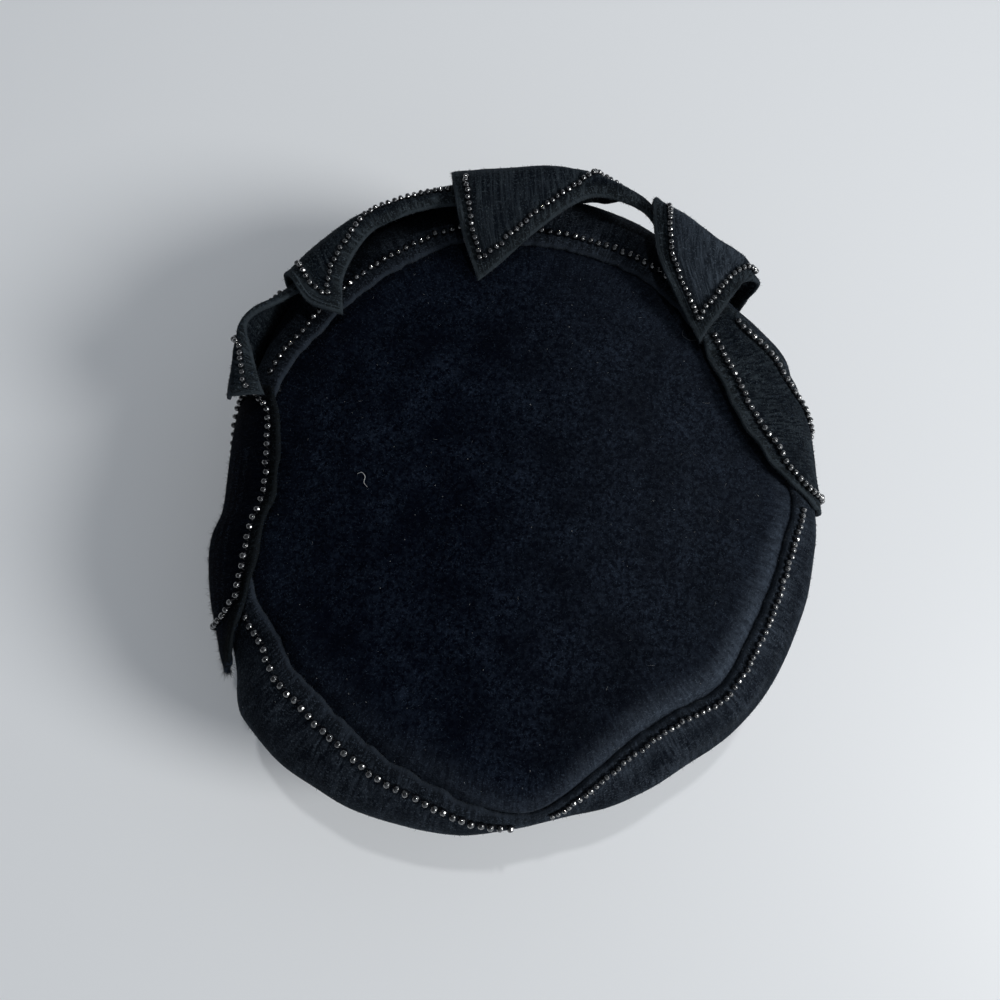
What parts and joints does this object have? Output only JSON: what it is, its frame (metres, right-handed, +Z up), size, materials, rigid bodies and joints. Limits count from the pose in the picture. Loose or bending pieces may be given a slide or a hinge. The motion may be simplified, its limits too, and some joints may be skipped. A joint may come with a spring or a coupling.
{
  "type": "velour hat",
  "caption": "Brimless black velour felt hat: a soft wide crown, a turned-up cuff with a beaded raw edge, and a wreath of beaded felt leaves that roll over the back rim.",
  "frame": {"origin": "on the surface that the hat rests on, below the middle of its bounding box", "axes": "+Z up out of the crown, -Y towards the front, +X to the right seen from the front edge"},
  "size_m": [0.2632, 0.2808, 0.1],
  "materials": {
    "crown_velour": "deep black velour felt with a soft brushed pile and a faint cool sheen",
    "cuff_velour": "black velour felt, brushed flatter than the crown, with a bare greyer cut edge",
    "leaf_velour": "black velour felt, with a bare greyer cut edge",
    "beads": "small faceted jet-black glass beads, glossy"
  },
  "bodies": {
    "root": {"crown": "crown_velour", "cuff": "cuff_velour", "leaf_back_right": "leaf_velour", "leaf_back": "leaf_velour", "leaf_back_left": "leaf_velour", "leaf_left_upper": "leaf_velour", "leaf_right": "leaf_velour", "leaf_left": "leaf_velour", "beads_front_left": "beads", "beads_front_right": "beads", "beads_back": "beads", "beads_leaf_back_right": "beads", "beads_leaf_back": "beads", "beads_leaf_back_left": "beads", "beads_leaf_left_upper": "beads", "beads_leaf_right": "beads", "beads_leaf_left": "beads"}
  },
  "joints": []
}
